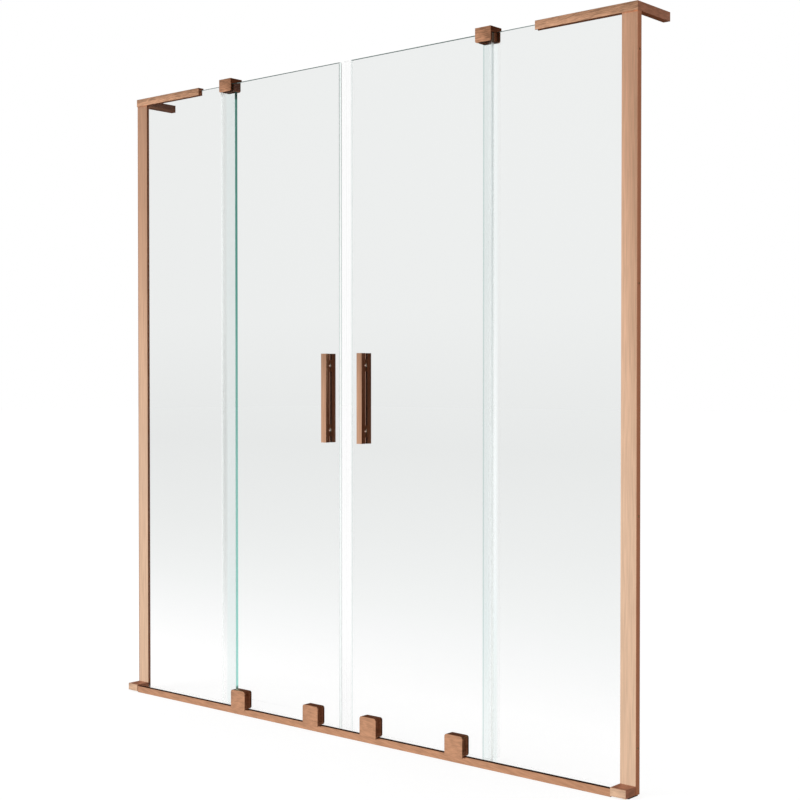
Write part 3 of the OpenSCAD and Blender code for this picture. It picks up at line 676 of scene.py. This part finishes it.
SCREW_SIZES = (
    "Head Radius", "Head Height", "Foot Radius", "Chamfer",
    "Socket Radius", "Socket Depth", "Shank Radius", "Shank Length",
)
GLASS_SCREW = (5.0, 3.0, 5.0, 0.5, 1.75, 1.5, 2.5, 16.5)
POST_SCREW = (2.375, 2.2, 2.375, 0.25, 1.0, 1.0, 1.25, 10.5)
HANDLE_BOLT = (3.0, 2.0, 3.0, 0.3, 1.5, 1.5, 3.0, 22.0)
GRUB_SCREW = (1.5, 1.5, 1.5, 0.15, 0.75, 1.0, 1.5, 2.7)
BRACE_SCREW = (4.0, 2.0, 2.0, 0.1, 1.5, 1.5, 2.0, 35.7)
CAP_SCREW = (4.0, 2.0, 2.0, 0.1, 1.5, 1.2, 2.0, 34.5)
CLAMP_SCREW = (2.0, 1.5, 2.0, 0.2, 1.0, 1.2, 2.0, 3.0)
ROUND_SIDES = 32
HEX_SIDES = 6
SHANK_OVERLAP = 0.2 * MM


def socket_screw_tree():
    """A tree that sets a hex socket screw at each point, its head's top on the point."""
    tree = bpy.data.node_groups.new("hex_socket_screw", "GeometryNodeTree")
    tree.interface.new_socket("Points", in_out="INPUT", socket_type="NodeSocketGeometry")
    tree.interface.new_socket("Facing", in_out="INPUT", socket_type="NodeSocketVector")
    for name in SCREW_SIZES:
        tree.interface.new_socket(name, in_out="INPUT", socket_type="NodeSocketFloat")
    tree.interface.new_socket("Screws", in_out="OUTPUT", socket_type="NodeSocketGeometry")
    given = tree.nodes.new("NodeGroupInput").outputs
    head, foot, shank = given["Head Radius"], given["Foot Radius"], given["Shank Radius"]
    socket, chamfer = given["Socket Radius"], given["Chamfer"]

    def step(kind, **values):
        return new_node(tree, kind, **values).outputs[0]

    def less(first, second):
        return maths(tree, "SUBTRACT", first, second)

    def at_height(shape, height):
        place = step("ShaderNodeCombineXYZ", Z=height)
        return step("GeometryNodeTransform", Geometry=shape, Translation=place)

    def filled(shape, fill, height):
        shape.fill_type = fill
        return at_height(shape.outputs[0], height)

    def wall(low, high, depth, base, sides, fill="NONE"):
        cone = new_node(
            tree, "GeometryNodeMeshCone", Vertices=sides, Radius_Top=high, Radius_Bottom=low, Depth=depth
        )
        return filled(cone, fill, base)

    def disc(radius, height, sides):
        circle = new_node(tree, "GeometryNodeMeshCircle", Vertices=sides, Radius=radius)
        return filled(circle, "NGON", height)

    rim = less(head, chamfer)
    head_foot = less(0.0, given["Head Height"])
    socket_floor = less(0.0, given["Socket Depth"])
    shank_foot = less(head_foot, given["Shank Length"])
    shank_length = maths(tree, "ADD", given["Shank Length"], SHANK_OVERLAP)
    rings = tree.nodes.new("GeometryNodeJoinGeometry")
    for radius, sides in ((rim, ROUND_SIDES), (socket, HEX_SIDES)):
        ring = step("GeometryNodeCurvePrimitiveCircle", Resolution=sides, Radius=radius)
        tree.links.new(ring, rings.inputs[0])
    whole = tree.nodes.new("GeometryNodeJoinGeometry")
    for shape in (
        step("GeometryNodeFillCurve", Curve=rings.outputs[0]),
        wall(head, rim, chamfer, less(0.0, chamfer), ROUND_SIDES),
        wall(foot, head, less(given["Head Height"], chamfer), head_foot, ROUND_SIDES),
        disc(foot, head_foot, ROUND_SIDES),
        wall(socket, socket, given["Socket Depth"], socket_floor, HEX_SIDES),
        disc(socket, socket_floor, HEX_SIDES),
        wall(shank, shank, shank_length, shank_foot, ROUND_SIDES, "NGON"),
    ):
        tree.links.new(shape, whole.inputs[0])
    turn = new_node(tree, "FunctionNodeAlignRotationToVector", Vector=given["Facing"])
    turn.axis = "Z"
    screws = step(
        "GeometryNodeInstanceOnPoints", Points=given["Points"], Instance=whole.outputs[0],
        Rotation=turn.outputs[0],
    )
    loose = step("GeometryNodeRealizeInstances", Geometry=screws)
    steel = step("GeometryNodeSetMaterial", Geometry=loose, Material=turned_steel)
    tree.links.new(steel, tree.nodes.new("NodeGroupOutput").inputs[0])
    return tree


socket_screws = socket_screw_tree()


def screw_set(points, facing, sizes):
    """The mesh of a set of screws of one size, with their heads at points and facing one way."""
    mesh = bpy.data.meshes.new("screw_points")
    mesh.from_pydata(points, [], [])
    piece = placed("screw_points", mesh, [])
    maker = piece.modifiers.new("screws", "NODES")
    maker.node_group = socket_screws
    inputs = [item for item in socket_screws.interface.items_tree if item.in_out == "INPUT"]
    entries = {item.name: item.identifier for item in inputs}
    maker[entries["Facing"]] = facing
    for name, size in zip(SCREW_SIZES, sizes):
        maker[entries[name]] = size * MM
    settle(piece)
    made = piece.data
    bpy.data.objects.remove(piece)
    return made


def fit_screws(node, material, *sets):
    """All the screws of one CAD node as one mesh in its place."""
    whole = bmesh.new()
    for points, facing, sizes in sets:
        whole.from_mesh(screw_set(points, facing, sizes))
    bmesh.ops.remove_doubles(whole, verts=whole.verts, dist=MERGE_GAP)
    bmesh.ops.recalc_face_normals(whole, faces=whole.faces)
    mesh = as_mesh(whole, node + "_screws")
    mesh.materials.clear()
    take_over(placed(node + "_screws", mesh, [material]), node)


def middle_x(node):
    """The middle of a CAD node along the screen's length."""
    low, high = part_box(node)
    return (low[0] + high[0]) / 2


def beside(middles, reach, depth, height):
    """Points on both sides of each middle, at one depth and height."""
    return [(middle + way * reach, depth, height) for middle in middles for way in SIDES.values()]


TO_RIGHT, TO_BATH, UP, DOWN = (1, 0, 0), (0, 1, 0), (0, 0, 1), (0, 0, -1)
HANDLE_HOLES = (0.676, 0.820)
BOLT_DEPTH = 0.028
GRUB_REACH = 0.0075
GRUB_DEPTH = 0.0102
END_SCREW_X = 0.73155
END_SCREW_DEPTH = 0.034
CAP_SCREW_HEIGHT = 0.0025
CLAMP_SCREW_X = (0.3795, 0.398)
CLAMP_SCREW_DEPTH = 0.043
CLAMP_SCREW_HEIGHT = 1.4828

for side in SIDES:
    centres = [middle_x(f"{side}_{place}_roller_housing") for place in PLACES]
    heads = beside(centres, reach=0.009, depth=0.024, height=0.0418)
    posts = beside(centres, reach=0.0175, depth=0.0087, height=0.0518)
    fit_screws(
        f"{side}_roller_screws",
        turned_steel,
        (heads, TO_BATH, GLASS_SCREW),
        (posts, TO_BATH, POST_SCREW),
    )
    grip = middle_x(f"{side}_handle_front")
    bolts = [(grip, BOLT_DEPTH, height) for height in HANDLE_HOLES]
    grubs = [(grip + GRUB_REACH, GRUB_DEPTH, height) for height in HANDLE_HOLES]
    fit_screws(
        f"{side}_handle_fixings",
        painted_glint_steel,
        (bolts, TO_BATH, HANDLE_BOLT),
        (grubs, TO_RIGHT, GRUB_SCREW),
    )
ends = [way * END_SCREW_X for way in SIDES.values()]
clamps = [way * x for way in SIDES.values() for x in CLAMP_SCREW_X]
fit_screws(
    "frame_screws",
    turned_steel,
    ([(x, END_SCREW_DEPTH, BRACE_TOP) for x in ends], UP, BRACE_SCREW),
    ([(x, END_SCREW_DEPTH, CAP_SCREW_HEIGHT) for x in ends], DOWN, CAP_SCREW),
    ([(x, CLAMP_SCREW_DEPTH, CLAMP_SCREW_HEIGHT) for x in clamps], TO_BATH, CLAMP_SCREW),
)


# Feet under the end caps, and the finish of the nodes that stay


CAP_FOOT_SIZE = Vector((0.0335, 0.0355, 0.0025))
CAP_FOOT_X = 0.719
CAP_FOOT_Y = 0.0215
CAP_FOOT_CORNER = 3.0 * MM


def add_cap_foot(side, way):
    """A near-black foot with rounded corners, between an end cap and the bath's rim, that stands in for
    the shadow in the gap under the cap.
    """
    pad = bmesh.new()
    bmesh.ops.create_cube(pad, size=1.0)
    middle = Vector((way * CAP_FOOT_X, CAP_FOOT_Y, CAP_FOOT_SIZE.z / 2))
    for vertex in pad.verts:
        vertex.co = vertex.co * CAP_FOOT_SIZE + middle
    upright = [edge for edge in pad.edges if abs((edge.verts[0].co - edge.verts[1].co).z) > 1.0 * MM]
    bmesh.ops.bevel(
        pad, geom=upright, offset=CAP_FOOT_CORNER, segments=5, affect="EDGES", profile=0.5
    )
    foot = placed(f"{side}_cap_foot", as_mesh(pad, f"{side}_cap_foot"), [painted_gap_shadow])
    foot.visible_glossy = False
    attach(foot, body_of(f"{side}_end_cap"))


# The metal doesn't mirror the rail, the caps and the feet, which would darken the profiles' foot.
for side, way in SIDES.items():
    add_cap_foot(side, way)
    bpy.data.objects[f"{side}_end_cap_eased"].visible_glossy = False
bpy.data.objects["bottom_rail_eased"].visible_glossy = False

for node, shown in frame["nodes"].items():
    if not shown.hide_render:
        shown.data.materials.clear()
        shown.data.materials.append(finish_for(node))


# Studio


def straight_share(tree):
    """1 for what is seen straight or through glass, and 0 for what metal mirrors or lights a surface."""
    path = tree.nodes.new("ShaderNodeLightPath").outputs
    share = maths(tree, "MAXIMUM", path["Is Camera Ray"], path["Is Transmission Ray"])
    for bounces in ("Glossy Depth", "Diffuse Depth"):
        share = maths(tree, "MULTIPLY", share, maths(tree, "LESS_THAN", path[bounces], 0.5))
    return share


def mirrored_share(tree):
    """1 for what is seen after a bounce off a mirror or a pane, and 0 for the rest."""
    path = tree.nodes.new("ShaderNodeLightPath").outputs
    return maths(tree, "GREATER_THAN", path["Glossy Depth"], 0.5)


def echo_share(tree):
    """1 for what a pane mirrors within its own thickness, and 0 for the rest."""
    path = tree.nodes.new("ShaderNodeLightPath").outputs
    return maths(tree, "MULTIPLY", path["Is Transmission Ray"], mirrored_share(tree))


PLAIN_WHITE = (1.0, 1.0, 1.0, 1.0)
DIM = (0.105, 0.05, 0.03)
ROUND_THE_ROOM = [
    (0.0, WHITE), (0.21, WHITE), (0.5, (0.3, 0.27, 0.25)), (0.68, DIM), (0.95, DIM),
    (1.0, (0.5, 0.44, 0.4)),
]
UP_THE_WALLS = [(0.5, WHITE), (0.6, (0.76, 0.74, 0.72)), (0.7, (0.5, 0.48, 0.46))]
OVERHEAD = [(0.78, (0.0, 0.0, 0.0)), (0.92, (0.75, 0.75, 0.75))]
FILL_STRENGTH = 0.7


def studio_world():
    """A white room that is bright in front of the screen and dim behind it."""
    world = bpy.data.worlds.new("studio")
    bpy.context.scene.world = world
    world.use_nodes = True
    tree = world.node_tree
    tree.nodes.clear()
    place = tree.nodes.new("ShaderNodeTexCoord")
    split = new_node(tree, "ShaderNodeSeparateXYZ", Vector=place.outputs["Generated"]).outputs
    level = new_node(tree, "ShaderNodeCombineXYZ", X=split["X"], Y=split["Y"])
    turn = tree.nodes.new("ShaderNodeVectorMath")
    turn.operation = "NORMALIZE"
    tree.links.new(level.outputs["Vector"], turn.inputs[0])
    bearing = new_node(tree, "ShaderNodeSeparateXYZ", Vector=turn.outputs["Vector"])
    frontwards = in_range(tree, bearing.outputs["Y"], -1.0, 1.0)
    height = in_range(tree, split["Z"], -1.0, 1.0)
    round_it = colour_ramp(tree, frontwards, ROUND_THE_ROOM, "EASE")
    walls = mixed(tree, round_it, colour_ramp(tree, height, UP_THE_WALLS, "EASE"), 1.0, "MULTIPLY")
    room = mixed(tree, walls, colour_ramp(tree, height, OVERHEAD, "EASE"), 1.0, "LIGHTEN")
    room_colour = mixed(tree, room, (*DIM, 1.0), echo_share(tree))
    mirrored = new_node(tree, "ShaderNodeBackground", Color=room_colour, Strength=1.0)
    fill = new_node(tree, "ShaderNodeBackground", Color=PLAIN_WHITE, Strength=FILL_STRENGTH)
    backdrop = new_node(tree, "ShaderNodeBackground", Color=PLAIN_WHITE, Strength=1.0)
    path = tree.nodes.new("ShaderNodeLightPath")
    soft = blended(
        tree, path.outputs["Is Diffuse Ray"], mirrored.outputs["Background"], fill.outputs["Background"]
    )
    whole_room = blended(tree, straight_share(tree), soft, backdrop.outputs["Background"])
    out = tree.nodes.new("ShaderNodeOutputWorld")
    tree.links.new(whole_room, out.inputs["Surface"])


FLOOR_REACH = 30.0
FLOOR_HEIGHT = -0.05 * MM
FLOOR_SHADE = (0.25, 0.25, 0.25, 1.0)
FLOOR_GLOW = 0.832
FLOOR_BOUNCE = (0.7, 0.7, 0.7, 1.0)


def white_floor():
    """A wide white floor level with the rim, which keeps a faint shadow of the screen."""
    sheet = bmesh.new()
    bmesh.ops.create_grid(sheet, x_segments=1, y_segments=1, size=FLOOR_REACH)
    material, tree, out = blank_material("floor_white")
    floor = placed("floor", as_mesh(sheet, "floor"), [material])
    floor.location.z = FLOOR_HEIGHT
    floor.visible_glossy = False
    shadowed = new_node(tree, "ShaderNodeBsdfDiffuse", Color=FLOOR_SHADE)
    glow = new_node(tree, "ShaderNodeEmission", Color=PLAIN_WHITE, Strength=FLOOR_GLOW)
    seen = tree.nodes.new("ShaderNodeAddShader")
    tree.links.new(shadowed.outputs["BSDF"], seen.inputs[0])
    tree.links.new(glow.outputs["Emission"], seen.inputs[1])
    plain = new_node(tree, "ShaderNodeBsdfDiffuse", Color=FLOOR_BOUNCE)
    clear = tree.nodes.new("ShaderNodeBsdfTransparent")
    lit = blended(tree, straight_share(tree), plain.outputs["BSDF"], seen.outputs["Shader"])
    open_up = blended(tree, mirrored_share(tree), lit, clear.outputs["BSDF"])
    tree.links.new(open_up, out.inputs["Surface"])


def soft_lamp(name, place, aim, size, power):
    """A square soft lamp at place, turned to aim."""
    lamp = bpy.data.lights.new(name, "AREA")
    lamp.size = size
    lamp.energy = power
    holder = bpy.data.objects.new(name, lamp)
    bpy.context.scene.collection.objects.link(holder)
    holder.visible_glossy = False
    holder.visible_transmission = False
    holder.location = place
    holder.rotation_euler = (Vector(aim) - Vector(place)).to_track_quat("-Z", "Y").to_euler()


CAMERA_PLACE = (2.18001, -2.31772, 0.78806)
CAMERA_DOWN = 0.923
CAMERA_TURN = 40.919
LENS_MM = 64.951
SENSOR_MM = 36.0
LENS_SHIFT = (-0.00024, 0.0042)


def photo_camera():
    """The camera where the photograph was taken."""
    lens = bpy.data.cameras.new("camera")
    lens.lens = LENS_MM
    lens.sensor_width = SENSOR_MM
    lens.shift_x, lens.shift_y = LENS_SHIFT
    holder = bpy.data.objects.new("camera", lens)
    bpy.context.scene.collection.objects.link(holder)
    holder.location = CAMERA_PLACE
    holder.rotation_euler = (math.radians(90 - CAMERA_DOWN), 0.0, math.radians(CAMERA_TURN))
    bpy.context.scene.camera = holder


studio_world()
white_floor()
soft_lamp("front_lamp", place=(-2.4, -2.8, 3.0), aim=(0.0, 0.0, 0.6), size=2.4, power=60.0)
photo_camera()
bpy.context.scene.view_settings.view_transform = "Standard"
